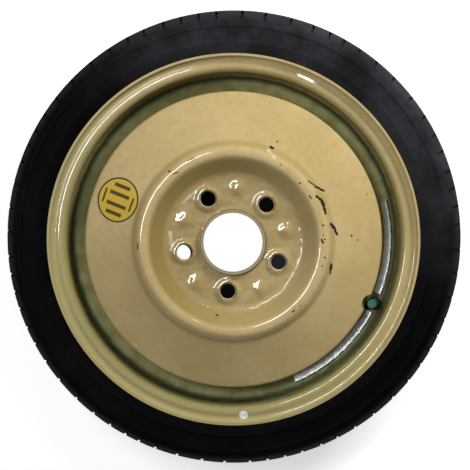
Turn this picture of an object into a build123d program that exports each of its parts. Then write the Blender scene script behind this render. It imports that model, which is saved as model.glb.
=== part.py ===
from build123d import *
import os
from math import cos, pi, radians, sin, tan

# A narrow spare wheel lying on its inner sidewall, street face up.
# Millimetres. Z is the axle line, and z = 0 is the face that bolts to the hub.

# Disc: one pressing, from the collar round the bore to the skirt inside the rim.
# The ridge is placed by shares of the way from the bolt pad to the disc's edge.
disc_t = 3.5
bore_dia = 65.1
collar_height = 5.0
collar_root_round = 1.0
pad_r = 74.0
pad_round = 6.0
dish_wall_share = 0.237
crest_share = 0.083
crest_height = 16.5
crest_round_share = 1.05
ridge_fall_share = 0.088
ridge_foot_height = 8.8
ridge_foot_round = 6.0
cone_slope = 22.0
edge_ledge_width = 1.2
edge_round = 5.0
skirt_bend_round = 12.0
skirt_in_well = 13.0
skirt_fit = 0.2

# Wheel bolts: holes with conical seats in raised bosses, and embossed lumps between them
bolt_count = 5
bolt_circle_dia = 110.0
bolt_hole_dia = 16.0
first_bolt_angle = 48.0
seat_mouth_dia = 20.5
seat_angle = 60.0
boss_base_dia = 31.0
boss_top_dia = 25.0
boss_height = 2.2
lump_circle_r = 60.0
lump_base_r = 9.5
lump_height = 2.2

# Rim: one rolled section, the same on both sides of its middle plane
rim_t = 2.6
rim_width = 101.6
flange_height = 17.5
lip_set_in = 6.0
flange_depth = 9.5
curl_round = 9.0
heel_round = 6.5
seat_r = 190.1
seat_taper = 5.0
seat_length = 21.0
seat_end_round = 5.0
well_depth = 26.6
well_wall_lean = 12.0
well_round = 4.0

# Tyre, its rings placed as shares of the wall's height above the rim's lip
tyre_fit = 0.3
wall_height = 49.9
tread_edge_drop = 3.0
tread_flat_half = 22.0
tread_edge_in = 16.0
tread_edge_round = 9.0
tread_crown_round = 60.0
tread_thickness = 12.0
liner_half = 30.0
liner_round_share = 0.36
bulge = 1.0
exit_drop = 2.0
exit_round = 0.8
bead_width = 17.0
bead_height = 11.0
bead_toe_round = 1.5
hollow_start = 0.28
hollow_end = 0.68
wall_step = 0.8
wall_inner_share = 0.12
wall_inner_drop = 12.0
tread_groove_width = 5.0
tread_groove_depth = 4.0
tread_groove_pitch = 17.0

# Grooves across the tyre's shoulders: short and long pitches in turn, so that the tread doesn't hum
shoulder_pitches = (7, 7, 7, 8, 7, 8, 9, 10, 9, 8, 7, 6, 7, 9, 10, 9, 10)
shoulder_repeats = 4
shoulder_groove_width = 2.9
shoulder_groove_depth = 3.8
shoulder_groove_start = 0.1
shoulder_groove_end = 0.82
shoulder_first_angle = 94.2
shoulder_stagger = 4

# Weld: short fillet runs between the skirt's end and the rim well
weld_runs = 6
weld_arc = 30.0
weld_leg = 4.5
weld_gap = 0.05

# Valve: snap-in rubber body through the rim's well wall, placed as a share of that wall from its foot
valve_angle = -24.5
valve_place = 0.505
valve_hole_dia = 11.5
valve_rubber_fit = 0.05
valve_flange_dia = 17.0
valve_flange_t = 3.5
valve_tail_dia = 12.0
valve_shoulder_dia = 15.2
valve_shoulder_height = 3.0
valve_neck_dia = 10.4
valve_rubber_height = 13.0
stem_shank_dia = 5.8
stem_foot_dia = 9.2
stem_foot_t = 2.0
stem_thread_dia = 7.7
stem_thread_length = 11.5
stem_height = 23.0
stem_bore_dia = 3.8
core_bore_dia = 5.1
core_seat_height = 14.2
core_fit = 0.05
gasket_t = 0.9
core_plug_length = 6.4
core_plug_floor = 0.8
core_spring_bore_dia = 3.4
core_pin_dia = 1.2
core_pin_fit = 0.1
core_pin_collar_dia = 2.6
core_pin_collar_t = 0.8
core_pin_below = 3.0
core_pin_inset = 0.3
core_seal_dia = 3.2
core_seal_t = 1.2
spring_wire_dia = 0.4
spring_turns = 4.0
spring_end_gap = 0.05
cap_dia = 10.6
cap_gap = 0.5
cap_thread_fit = 0.12
cap_roof = 1.3
cap_edge_round = 1.0
cap_grip_count = 14
cap_grip_dia = 1.0
cap_seal_t = 1.0
cap_seal_dia = 7.4
cap_seal_gap = 0.05
valve_notch_dia = 21.6

# Stick-on balance weights on the well wall, either side of the valve
weight_width = 9.0
weight_t = 3.0
weight_round = 1.1
weight_place = 0.465
tape_t = 0.8
tape_gap = 0.05
tape_inset = 0.6
weight_spans = {"lower": (-66.5, -28.0), "upper": (-20.5, 14.5)}
weight_piece_length = 13.4
weight_notch = 0.6

# Round label on the cone
label_margin = 3.95
label_offset = 2.3
label_t = 0.25
label_gap = 0.05
label_angle = 160.0

# Sizes that follow from those above
bore_r = bore_dia / 2
collar_r = bore_r + disc_t
lip_r = seat_r + flange_height
well_r = seat_r - well_depth
well_inner_r = well_r - rim_t
skirt_r = well_inner_r - skirt_fit
lip_z = -lip_set_in
flange_z = lip_z - flange_depth
mid_z = flange_z - rim_width / 2
seat_end_r = seat_r - seat_length * tan(radians(seat_taper))
seat_end_z = flange_z - seat_length
well_foot_z = seat_end_z - (seat_end_r - well_r) * tan(radians(well_wall_lean))
skirt_end_z = well_foot_z - skirt_in_well
disc_edge_r = well_r + edge_ledge_width
dish_run = disc_edge_r - pad_r
crest_r_in = pad_r + dish_wall_share * dish_run
crest_width = crest_share * dish_run
crest_round = crest_round_share * crest_width
crest_r_out = crest_r_in + crest_width
ridge_foot_r = crest_r_out + ridge_fall_share * dish_run
cone_run = disc_edge_r - ridge_foot_r
edge_z = ridge_foot_height - cone_run * tan(radians(cone_slope))
label_dia = cone_run / cos(radians(cone_slope)) - 2 * label_margin
label_r = ridge_foot_r + cone_run / 2 - label_offset
valve_r = well_r + valve_place * (seat_end_r - well_r)
weight_r = well_r + weight_place * (seat_end_r - well_r)
tread_r = lip_r + wall_height
bolt_step = 360 / bolt_count


def polar(radius, angle, z=0.0):
    """A point given by its distance from the axle line and its angle."""
    return (radius * cos(radians(angle)), radius * sin(radians(angle)), z)


def lathe(*points, rounds=0.0, arc=360.0):
    """Turn a closed outline of (radius, height) points about Z."""
    outline = FilletPolyline(*points, radius=rounds, close=True)
    return revolve(Plane.XZ * make_face(outline), Axis.Z, arc)


def sheet_ring(points, rounds, thickness):
    """Turn a sheet section: its path, thickened to the axle side."""
    path = FilletPolyline(*points, radius=rounds)
    section = make_face(offset(path, amount=thickness, side=Side.RIGHT, closed=True))
    return revolve(Plane.XZ * section, Axis.Z, 360)


def around(shape, angles):
    """Copies of a shape turned about the axle line."""
    return [Rot(0, 0, angle) * shape for angle in angles]


def bolt_angles(shift=0.0):
    """The bolt holes' angles, or with a shift those between them."""
    return [first_bolt_angle + shift + bolt_step * k for k in range(bolt_count)]


def wall_point(radius, height):
    """(radius, z) at a height above the well wall's open face, over a radius on its tyre face."""
    lean = radians(well_wall_lean)
    z = seat_end_z - (seat_end_r - radius) * tan(lean)
    reach = rim_t + height
    return (radius - reach * sin(lean), z + reach * cos(lean))


def valve_plane():
    """The valve's own frame: its foot on the well wall's open face, Z along the stem."""
    lean = radians(well_wall_lean)
    foot_r, foot_z = wall_point(valve_r, 0)
    out = polar(-sin(lean), valve_angle, cos(lean))
    side = polar(cos(lean), valve_angle, sin(lean))
    return Plane(polar(foot_r, valve_angle, foot_z), x_dir=side, z_dir=out)


def at_valve(shape):
    """Move a shape from the valve's own frame to its place."""
    return valve_plane() * shape


def make_disc():
    path = [
        (collar_r, disc_t + collar_height),
        (collar_r, disc_t),
        (pad_r, disc_t),
        (crest_r_in, crest_height),
        (crest_r_out, crest_height),
        (ridge_foot_r, ridge_foot_height),
        (disc_edge_r, edge_z),
        (skirt_r, well_foot_z),
        (skirt_r, skirt_end_z),
    ]
    rounds = [collar_root_round, pad_round, crest_round, crest_round, ridge_foot_round]
    rounds += [edge_round, skirt_bend_round]
    disc = sheet_ring(path, rounds, disc_t)

    # Embossed lumps: a spherical cap on the front, and the same hollow at the back
    ball_r = (lump_base_r**2 + lump_height**2) / (2 * lump_height)
    cap_centre = (lump_circle_r, 0, disc_t + lump_height - ball_r)
    room = Pos(lump_circle_r, 0, disc_t) * Cylinder(
        lump_base_r, lump_height, align=(Align.CENTER, Align.CENTER, Align.MIN)
    )
    lump = room & Pos(*cap_centre) * Sphere(ball_r)
    lump_angles = bolt_angles(bolt_step / 2)
    disc += around(lump, lump_angles)
    disc -= around(Pos(0, 0, -disc_t) * lump, lump_angles)

    # Bolt bosses with conical seats
    boss_r = bolt_circle_dia / 2
    boss = lathe(
        (0, disc_t / 2),
        (boss_base_dia / 2, disc_t / 2),
        (boss_base_dia / 2, disc_t),
        (boss_top_dia / 2, disc_t + boss_height),
        (0, disc_t + boss_height),
    )
    seat_depth = (seat_mouth_dia - bolt_hole_dia) / 2 / tan(radians(seat_angle / 2))
    seat_foot = disc_t + boss_height - seat_depth
    hole = lathe(
        (0, -disc_t),
        (bolt_hole_dia / 2, -disc_t),
        (bolt_hole_dia / 2, seat_foot),
        (seat_mouth_dia / 2, disc_t + boss_height),
        (seat_mouth_dia / 2, crest_height),
        (0, crest_height),
    )
    disc += around(Pos(boss_r, 0, 0) * boss, bolt_angles())
    disc -= around(Pos(boss_r, 0, 0) * hole, bolt_angles())

    # Notch in the disc's edge for the valve
    notch = Cylinder(valve_notch_dia / 2, 2 * rim_width, align=(Align.CENTER, Align.CENTER, Align.MIN))
    return disc - at_valve(notch)


def make_rim():
    half = [
        (lip_r, lip_z),
        (lip_r, flange_z),
        (seat_r, flange_z),
        (seat_end_r, seat_end_z),
        (well_r, well_foot_z),
    ]
    rounds = [curl_round, heel_round, seat_end_round, well_round]
    path = half + [(r, 2 * mid_z - z) for r, z in reversed(half)]
    rim = sheet_ring(path, rounds + rounds[::-1], rim_t)
    hole = Cylinder(valve_hole_dia / 2, 4 * rim_t)
    return rim - at_valve(Pos(0, 0, -rim_t / 2) * hole)


def tyre_half():
    """The outer half of the tyre's section: (radius, z, rounding) from liner to tread."""
    base_r = seat_r + tyre_fit
    toe_z = flange_z - tyre_fit - bead_width
    toe_r = base_r - bead_width * tan(radians(seat_taper))
    exit_r = lip_r + tyre_fit
    wall_z = lip_z + bulge
    edge_r = tread_r - tread_edge_drop
    hollow_in = lip_r + hollow_start * wall_height
    hollow_out = lip_r + hollow_end * wall_height
    wall_inner_r = lip_r + wall_inner_share * wall_height
    liner_round = liner_round_share * wall_height
    return [
        (tread_r - tread_thickness, mid_z + liner_half, liner_round),
        (wall_inner_r, lip_z - wall_inner_drop, liner_round),
        (toe_r + bead_height, toe_z, bead_toe_round),
        (toe_r, toe_z, bead_toe_round),
        (base_r, flange_z - tyre_fit, heel_round),
        (exit_r, flange_z - tyre_fit, heel_round),
        (exit_r, lip_z - exit_drop, exit_round),
        (hollow_in - 2 * wall_step, wall_z, 2 * wall_step),
        (hollow_in, wall_z - wall_step, wall_step / 2),
        (hollow_out, wall_z - wall_step, wall_step / 2),
        (hollow_out + 2 * wall_step, wall_z, 2 * wall_step),
        (edge_r, lip_z - tread_edge_in, tread_edge_round),
        (tread_r, mid_z + tread_flat_half, tread_crown_round),
    ]


def shoulder_grooves():
    """Cutters for the grooves: a bent bar over the shoulder, at each pitch of both sides."""
    *_, wall_end, edge, crown = [Vector(r, z) for r, z, _ in tyre_half()]
    start = wall_end + (edge - wall_end) * shoulder_groove_start
    end = edge + (crown - edge) * shoulder_groove_end
    out = Vector(shoulder_groove_depth, shoulder_groove_depth / 2)
    path = [(point.X, point.Y) for point in (start + out, edge + out, end + out)]
    section = make_face(offset(Polyline(*path), amount=2 * shoulder_groove_depth, side=Side.RIGHT, closed=True))
    bar = extrude(Plane.XZ * section, amount=shoulder_groove_width / 2, both=True)
    lower_bar = Pos(0, 0, 2 * mid_z) * mirror(bar, about=Plane.XY)
    pitches = shoulder_pitches * shoulder_repeats
    unit = 360 / sum(pitches)
    places = [sum(pitches[:k]) for k in range(len(pitches))]
    upper = around(bar, [shoulder_first_angle + unit * place for place in places])
    lower = around(lower_bar, [shoulder_first_angle + unit * (place + shoulder_stagger) for place in places])
    return upper + lower


def make_tyre():
    half = tyre_half()
    section = half + [(r, 2 * mid_z - z, rounding) for r, z, rounding in reversed(half)]
    tyre = lathe(*[(r, z) for r, z, _ in section], rounds=[rounding for _, _, rounding in section])
    for shift in (-tread_groove_pitch, 0, tread_groove_pitch):
        low = mid_z + shift - tread_groove_width / 2
        high = low + tread_groove_width
        floor_r = tread_r - tread_groove_depth
        clear_r = tread_r + tread_groove_depth
        tyre -= lathe((floor_r, low), (clear_r, low), (clear_r, high), (floor_r, high))
    return tyre - shoulder_grooves()


def make_welds():
    corner_r = well_inner_r - weld_gap
    corner_z = skirt_end_z - weld_gap
    run = lathe(
        (corner_r, corner_z),
        (corner_r - weld_leg, corner_z),
        (corner_r, corner_z - weld_leg),
        arc=weld_arc,
    )
    return Compound(around(run, [360 / weld_runs * k for k in range(weld_runs)]))


def make_valve_body():
    hole_r = valve_hole_dia / 2 - valve_rubber_fit
    back = -rim_t - valve_rubber_fit
    bore_r_stem = stem_shank_dia / 2 + valve_rubber_fit
    foot_top = back - valve_flange_t
    foot_r = stem_foot_dia / 2 + valve_rubber_fit
    foot_low = foot_top - stem_foot_t
    return lathe(
        (bore_r_stem, foot_top),
        (foot_r, foot_top),
        (foot_r, foot_low),
        (valve_tail_dia / 2, foot_low),
        (valve_flange_dia / 2, foot_top + valve_flange_t / 3),
        (valve_flange_dia / 2, back),
        (hole_r, back),
        (hole_r, valve_rubber_fit),
        (valve_shoulder_dia / 2, valve_rubber_fit),
        (valve_shoulder_dia / 2, valve_shoulder_height),
        (valve_neck_dia / 2, valve_rubber_height),
        (bore_r_stem, valve_rubber_height),
    )


def make_valve_stem():
    foot_top = -rim_t - 2 * valve_rubber_fit - valve_flange_t
    thread_foot = max(stem_height - stem_thread_length, valve_rubber_height + valve_rubber_fit)
    return lathe(
        (stem_bore_dia / 2, foot_top - stem_foot_t + valve_rubber_fit),
        (stem_foot_dia / 2, foot_top - stem_foot_t + valve_rubber_fit),
        (stem_foot_dia / 2, foot_top),
        (stem_shank_dia / 2, foot_top),
        (stem_shank_dia / 2, thread_foot),
        (stem_thread_dia / 2, thread_foot),
        (stem_thread_dia / 2, stem_height),
        (core_bore_dia / 2, stem_height),
        (core_bore_dia / 2, core_seat_height),
        (stem_bore_dia / 2, core_seat_height),
    )


# Heights of the valve core's pieces along the stem
gasket_low = core_seat_height + core_fit
gasket_top = gasket_low + gasket_t
plug_low = gasket_top + core_fit
plug_top = plug_low + core_plug_length
spring_low = plug_low + core_plug_floor + spring_end_gap
pin_top = stem_height - core_pin_inset
collar_low = plug_top - core_pin_collar_t
spring_top = collar_low - spring_end_gap
pin_hole_r = core_pin_dia / 2 + core_pin_fit
core_r = core_bore_dia / 2 - core_fit


def make_core_gasket():
    return lathe(
        (pin_hole_r, gasket_low), (core_r, gasket_low), (core_r, gasket_top), (pin_hole_r, gasket_top)
    )


def make_core_plug():
    return lathe(
        (pin_hole_r, plug_low),
        (core_r, plug_low),
        (core_r, plug_top),
        (core_spring_bore_dia / 2, plug_top),
        (core_spring_bore_dia / 2, plug_low + core_plug_floor),
        (pin_hole_r, plug_low + core_plug_floor),
    )


def make_core_pin():
    low = gasket_low - core_fit - core_seal_t - core_pin_below
    pin_r = core_pin_dia / 2
    return lathe(
        (0, low),
        (pin_r, low),
        (pin_r, collar_low),
        (core_pin_collar_dia / 2, collar_low),
        (core_pin_collar_dia / 2, plug_top),
        (pin_r, plug_top),
        (pin_r, pin_top),
        (0, pin_top),
    )


def make_core_seal():
    top = gasket_low - core_fit
    inner = core_pin_dia / 2 + core_fit
    low = top - core_seal_t
    return lathe((inner, low), (core_seal_dia / 2, low), (core_seal_dia / 2, top), (inner, top))


def make_core_spring():
    wire_r = spring_wire_dia / 2
    coil_r = (core_spring_bore_dia / 2 - core_fit - wire_r + core_pin_dia / 2 + core_fit + wire_r) / 2
    low = spring_low + wire_r
    rise = spring_top - wire_r - low
    coil = Pos(0, 0, low) * Helix(pitch=rise / spring_turns, height=rise, radius=coil_r)
    wire = Plane(coil @ 0, z_dir=coil % 0) * Circle(wire_r)
    return sweep(wire, path=coil, is_frenet=True)


def make_valve_cap():
    low = valve_rubber_height + cap_gap
    bore_r_cap = stem_thread_dia / 2 + cap_thread_fit
    roof_low = stem_height + cap_seal_t + 2 * cap_seal_gap
    top = roof_low + cap_roof
    cap = lathe(
        (bore_r_cap, low),
        (cap_dia / 2, low),
        (cap_dia / 2, top),
        (0, top),
        (0, roof_low),
        (bore_r_cap, roof_low),
        rounds=[0, 0, cap_edge_round, 0, 0, 0],
    )
    grip = Pos(cap_dia / 2, 0, low) * Cylinder(
        cap_grip_dia / 2, top - low - 2 * cap_edge_round, align=(Align.CENTER, Align.CENTER, Align.MIN)
    )
    return cap - around(grip, [360 / cap_grip_count * k for k in range(cap_grip_count)])


def make_cap_seal():
    low = stem_height + cap_seal_gap
    return lathe((0, low), (cap_seal_dia / 2, low), (cap_seal_dia / 2, low + cap_seal_t), (0, low + cap_seal_t))


def wall_strip(width, low, high, span, rounds):
    """A strip along the well wall, between two heights above it and over an arc."""
    half = width / 2
    corners = [(-half, low), (half, low), (half, high), (-half, high)]
    outline = [wall_point(weight_r + u * cos(radians(well_wall_lean)), w) for u, w in corners]
    start, end = span
    return Rot(0, 0, start) * lathe(*outline, rounds=rounds, arc=end - start)


def make_weight(span):
    """Weight pieces in a row, joined at their feet, with a notch between each two."""
    start, end = span
    low = tape_gap + tape_t + tape_gap
    strip = wall_strip(weight_width, low, low + weight_t, span, [0, 0, weight_round, weight_round])
    length = weight_r * radians(end - start)
    pieces = max(round(length / weight_piece_length), 1)
    notch_arc = weight_notch / weight_r * 180 / pi
    for k in range(1, pieces):
        middle = start + (end - start) * k / pieces
        cut = (middle - notch_arc, middle + notch_arc)
        strip -= wall_strip(2 * weight_width, low + weight_t - weight_round, low + 2 * weight_t, cut, 0.0)
    return strip


def make_tape(span):
    return wall_strip(weight_width - 2 * tape_inset, tape_gap, tape_gap + tape_t, span, 0.0)


def make_label():
    """A thin round sticker that follows the cone."""
    slope = radians(cone_slope)
    half = label_dia / 2 + label_t

    def cone_point(along, height):
        r = label_r + along * cos(slope) + height * sin(slope)
        z = ridge_foot_height - (label_r - ridge_foot_r) * tan(slope)
        return (r, z - along * sin(slope) + height * cos(slope))

    top = label_gap + label_t
    skin = lathe(
        cone_point(-half, label_gap), cone_point(half, label_gap), cone_point(half, top), cone_point(-half, top)
    )
    centre_r, centre_z = cone_point(0, 0)
    normal = polar(sin(slope), label_angle, cos(slope))
    punch = Plane(polar(centre_r, label_angle, centre_z), z_dir=normal) * Cylinder(label_dia / 2, label_dia / 2)
    return skin & punch


def export(name, shape):
    """Write one node, as one solid or a group of separate solids."""
    solids = shape.solids()
    node = solids[0] if len(solids) == 1 else Compound(solids)
    export_step(node, f"parts/{name}.step")
    print(name, len(solids), round(node.volume, 1))


os.makedirs("parts", exist_ok=True)
export("tyre", make_tyre())
export("rim", make_rim())
export("disc", make_disc())
export("weld_runs", make_welds())
export("valve_body", at_valve(make_valve_body()))
export("valve_stem", at_valve(make_valve_stem()))
export("valve_core_gasket", at_valve(make_core_gasket()))
export("valve_core_plug", at_valve(make_core_plug()))
export("valve_core_pin", at_valve(make_core_pin()))
export("valve_core_seal", at_valve(make_core_seal()))
export("valve_core_spring", at_valve(make_core_spring()))
export("valve_cap", at_valve(make_valve_cap()))
export("valve_cap_seal", at_valve(make_cap_seal()))
for side, span in weight_spans.items():
    export(f"balance_weight_{side}", make_weight(span))
    export(f"balance_tape_{side}", make_tape(span))
export("round_label", make_label())
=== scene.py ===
# %% [markdown]
# # A narrow spare wheel, lying with its street side up
#
# The wheel comes from CAD as eighteen pieces in one frame: the axle line is Z and the photograph's top is +Y.
# Here it gets its looks. The pressed disc, the moulded tyre and the rolled rim are modelled again, because a press,
# a mould and rollers leave soft forms that plain solids lack. The other pieces keep their CAD shapes.

# %% Load the frame
from math import atan2, ceil, cos, degrees, hypot, pi, radians, sin, tan

import bpy
from mathutils import Matrix, Vector


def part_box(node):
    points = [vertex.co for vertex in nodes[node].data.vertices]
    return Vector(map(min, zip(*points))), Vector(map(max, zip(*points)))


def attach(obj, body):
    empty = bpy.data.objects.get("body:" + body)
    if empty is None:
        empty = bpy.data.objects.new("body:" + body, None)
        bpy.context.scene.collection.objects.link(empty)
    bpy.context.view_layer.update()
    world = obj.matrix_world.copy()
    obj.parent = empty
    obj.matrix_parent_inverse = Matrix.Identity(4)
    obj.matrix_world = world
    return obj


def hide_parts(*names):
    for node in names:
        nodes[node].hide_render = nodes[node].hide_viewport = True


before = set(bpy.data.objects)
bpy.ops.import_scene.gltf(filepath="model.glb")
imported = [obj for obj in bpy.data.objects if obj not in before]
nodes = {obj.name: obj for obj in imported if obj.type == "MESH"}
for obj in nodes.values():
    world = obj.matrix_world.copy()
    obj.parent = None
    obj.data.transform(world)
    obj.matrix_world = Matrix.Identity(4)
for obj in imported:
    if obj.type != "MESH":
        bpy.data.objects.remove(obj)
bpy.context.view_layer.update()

MM = 0.001

# %% [markdown]
# ## The camera comes first
#
# Chips, dots and scuffs are placed by where the photograph shows them. A pixel is turned into a ray from the
# camera, and the place is where that ray meets the piece. So the camera has to stand before anything is marked.
# The photograph was taken from about a metre and a half above the wheel, leaning a little towards its top.

# %% Camera
PHOTO_SIZE = 470
CAMERA_DISTANCE = 1500 * MM
CAMERA_LEAN_UP = 4.6
CAMERA_LEAN_RIGHT = 0.9
LENS = 103.87
SENSOR = 36.0
AIM = Vector((2.15 * MM, 7.49 * MM, 0))

to_camera = Vector((tan(radians(CAMERA_LEAN_RIGHT)), tan(radians(CAMERA_LEAN_UP)), 1)).normalized()
camera_data = bpy.data.cameras.new("camera")
camera_data.lens = LENS
camera_data.sensor_width = SENSOR
camera = bpy.data.objects.new("camera", camera_data)
bpy.context.collection.objects.link(camera)
camera.location = AIM + to_camera * CAMERA_DISTANCE
to_right = Vector((0, 1, 0)).cross(to_camera).normalized()
to_top = to_camera.cross(to_right)
camera.rotation_euler = Matrix((to_right, to_top, to_camera)).transposed().to_euler()
bpy.context.scene.camera = camera
bpy.context.view_layer.update()


def pixel_ray(pixel):
    """The direction from the camera through a pixel of the photograph."""
    across = (pixel[0] - PHOTO_SIZE / 2) / PHOTO_SIZE * SENSOR
    up = (PHOTO_SIZE / 2 - pixel[1]) / PHOTO_SIZE * SENSOR
    return camera.matrix_world.to_3x3() @ Vector((across, up, -LENS)).normalized()


def place_on(piece, pixel):
    """The point of a piece that the photograph shows at a pixel."""
    hit, point, _, _ = piece.ray_cast(camera.location, pixel_ray(pixel))
    if not hit:
        raise ValueError(f"pixel {pixel} misses {piece.name}")
    return point


print("camera at", [round(v, 3) for v in camera.location], "m")

# %% [markdown]
# ## Tools for turned pieces
#
# Most of a wheel is turned or rolled about one axis. Its section is a line of points with rounded corners.
# One vertex is extruded along that line, and the line is spun about the axle. That is how a lathe works.

# %% Outlines and the lathe


def rounded(points, rounds, arc_step):
    """A line of points with each corner made an arc of its radius, in steps of so many degrees."""
    outline = []
    for k, (point, radius) in enumerate(zip(points, rounds)):
        corner = Vector(point)
        if radius == 0:
            outline.append(corner)
            continue
        back = (Vector(points[k - 1]) - corner).normalized()
        on = (Vector(points[(k + 1) % len(points)]) - corner).normalized()
        turn = pi - back.angle(on)
        reach = radius * tan(turn / 2)
        centre = corner + (back + on).normalized() * hypot(reach, radius)
        first = corner + back * reach - centre
        last = corner + on * reach - centre
        steps = max(2, ceil(degrees(turn) / arc_step))
        for step in range(steps + 1):
            share = step / steps
            swing = first * sin((1 - share) * turn) + last * sin(share * turn)
            outline.append(centre + swing / sin(turn))
    return outline


def divided(outline, longest):
    """The same line with no run longer than a given length."""
    points = [outline[0]]
    for start, end in zip(outline, outline[1:]):
        parts = max(1, ceil((end - start).length / longest))
        points += [start.lerp(end, part / parts) for part in range(1, parts + 1)]
    return points


def lathe(name, outline, columns):
    """Extrude one vertex along an outline of (radius, height) and spin it about the axle."""
    bpy.ops.object.select_all(action="DESELECT")
    bpy.ops.mesh.primitive_plane_add(size=MM)
    piece = bpy.context.object
    piece.name = name
    bpy.ops.object.mode_set(mode="EDIT")
    bpy.ops.mesh.select_all(action="SELECT")
    bpy.ops.mesh.merge(type="CENTER")
    bpy.ops.transform.translate(value=(outline[0].x, 0, outline[0].y))
    for start, end in zip(outline, outline[1:]):
        step = end - start
        bpy.ops.mesh.extrude_vertices_move(TRANSFORM_OT_translate={"value": (step.x, 0, step.y)})
    bpy.ops.mesh.select_all(action="SELECT")
    bpy.ops.mesh.remove_doubles(threshold=0.001 * MM)
    bpy.ops.mesh.spin(steps=columns, angle=2 * pi, center=(0, 0, 0), axis=(0, 0, 1))
    bpy.ops.mesh.select_all(action="SELECT")
    bpy.ops.mesh.remove_doubles(threshold=0.001 * MM)
    bpy.ops.mesh.normals_make_consistent(inside=False)
    bpy.ops.object.mode_set(mode="OBJECT")
    return piece


def both_sides(half, middle, arc_step):
    """The rounded line of a half section (radius, height, rounding) and its mirror image about a middle plane."""
    section = half + [(r, 2 * middle - z, rounding) for r, z, rounding in reversed(half)]
    return rounded([(r, z) for r, z, _ in section], [rounding for _, _, rounding in section], arc_step)


# %% Picking, modifiers and finishing


def pick(piece):
    """Make a piece the only one selected, and the active one."""
    bpy.ops.object.select_all(action="DESELECT")
    bpy.context.view_layer.objects.active = piece
    piece.select_set(True)


def apply_modifier(piece, kind, **settings):
    """Add a modifier to a piece and apply it."""
    pick(piece)
    modifier = piece.modifiers.new(kind.lower(), kind)
    for key, value in settings.items():
        setattr(modifier, key, value)
    bpy.ops.object.modifier_apply(modifier=modifier.name)


def finish_piece(piece, body, slot, material, smooth_angle, *replaced):
    """Smooth a finished piece, dress it and put it on its body in place of CAD nodes."""
    pick(piece)
    bpy.ops.object.shade_smooth_by_angle(angle=radians(smooth_angle))
    piece.data.materials.clear()
    piece.data.materials.append(material)
    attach(piece, body)
    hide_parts(*replaced)
    print(piece.name, len(piece.data.polygons), "faces")


def select_where(piece, test):
    """In edit mode on vertices, select those whose place passes a test."""
    bpy.ops.mesh.select_all(action="DESELECT")
    bpy.ops.object.mode_set(mode="OBJECT")
    for vertex in piece.data.vertices:
        vertex.select = test(vertex.co)
    bpy.ops.object.mode_set(mode="EDIT")


# %% [markdown]
# ## The pressed disc
#
# A press makes the disc from one sheet: a collar round the bore, the bolt pad, a dish wall up to a ridge, a cone,
# and a skirt that goes into the rim. Only the front is drawn, and Solidify gives the sheet its thickness.
# The lumps and bosses of the pad are pulled up with soft selection, which rounds their feet as a press does.

# %% Disc: the sheet
SHEET = 3.5 * MM
COLLAR_R = 36.05 * MM
COLLAR_TOP = 8.5 * MM
PAD_R = 75.5 * MM
CREST_IN = 95.5 * MM
CREST_OUT = 103.0 * MM
CREST_Z = 16.5 * MM
RIDGE_FOOT_R = 111.0 * MM
RIDGE_FOOT_Z = 8.8 * MM
CONE_SLOPE = 22.0
DISC_EDGE_R = 167.0 * MM
SKIRT_R = 160.7 * MM
WELL_FOOT_Z = -41.77 * MM
SKIRT_END_Z = WELL_FOOT_Z - 13 * MM
DISC_ROUNDS = (0, 1, 18, 7.9, 7.9, 6, 5, 12, 0)
DISC_COLUMNS = 300
DISC_ARC_STEP = 9
PAD_RUN = 1.3 * MM
SHEET_RUN = 6.0 * MM

edge_z = RIDGE_FOOT_Z - (DISC_EDGE_R - RIDGE_FOOT_R) * tan(radians(CONE_SLOPE))
disc_path = [
    (COLLAR_R, COLLAR_TOP),
    (COLLAR_R, SHEET),
    (PAD_R, SHEET),
    (CREST_IN, CREST_Z),
    (CREST_OUT, CREST_Z),
    (RIDGE_FOOT_R, RIDGE_FOOT_Z),
    (DISC_EDGE_R, edge_z),
    (SKIRT_R, WELL_FOOT_Z),
    (SKIRT_R, SKIRT_END_Z),
]
disc_outline = rounded(disc_path, [radius * MM for radius in DISC_ROUNDS], DISC_ARC_STEP)
pad_end = len([point for point in disc_outline if point.x < PAD_R])
fine = divided(disc_outline[: pad_end + 1], PAD_RUN)
coarse = divided(disc_outline[pad_end:], SHEET_RUN)
disc = lathe("disc_pressing", fine + coarse[1:], DISC_COLUMNS)
print("disc front", len(disc.data.polygons), "faces, edge at", round(edge_z / MM, 1), "mm")

# %% Disc: bosses and lumps
BOLT_COUNT = 5
FIRST_BOLT = 48.0
BOLT_STEP = 360 / BOLT_COUNT
BOLT_CIRCLE_R = 55.0 * MM
BOSS_TOP_R = 10.4 * MM
BOSS_FOOT = 6.5 * MM
BOSS_HEIGHT = 2.2 * MM
LUMP_CIRCLE_R = 60.0 * MM
LUMP_TOP_R = 1.0 * MM
LUMP_R = 12.5 * MM
LUMP_HEIGHT = 2.4 * MM


def round_place(radius, angle, z=0.0):
    """A place given by its distance from the axle and its angle."""
    return Vector((radius * cos(radians(angle)), radius * sin(radians(angle)), z))


def pull_up(piece, places, core, reach, height):
    """Raise the sheet round some places, with a soft foot."""
    for place in places:
        select_where(piece, lambda point: (point - place).length < core)
        bpy.ops.transform.translate(
            value=(0, 0, height),
            use_proportional_edit=True,
            proportional_edit_falloff="SMOOTH",
            proportional_size=reach,
        )


bolt_places = [round_place(BOLT_CIRCLE_R, FIRST_BOLT + BOLT_STEP * k, SHEET) for k in range(BOLT_COUNT)]
lump_places = [round_place(LUMP_CIRCLE_R, FIRST_BOLT + BOLT_STEP * (k + 0.5), SHEET) for k in range(BOLT_COUNT)]
pick(disc)
bpy.ops.object.mode_set(mode="EDIT")
pull_up(disc, bolt_places, BOSS_TOP_R, BOSS_FOOT, BOSS_HEIGHT)
pull_up(disc, lump_places, LUMP_TOP_R, LUMP_R, LUMP_HEIGHT)
bpy.ops.object.mode_set(mode="OBJECT")
print("pulled up", len(bolt_places), "bosses and", len(lump_places), "lumps")

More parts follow.
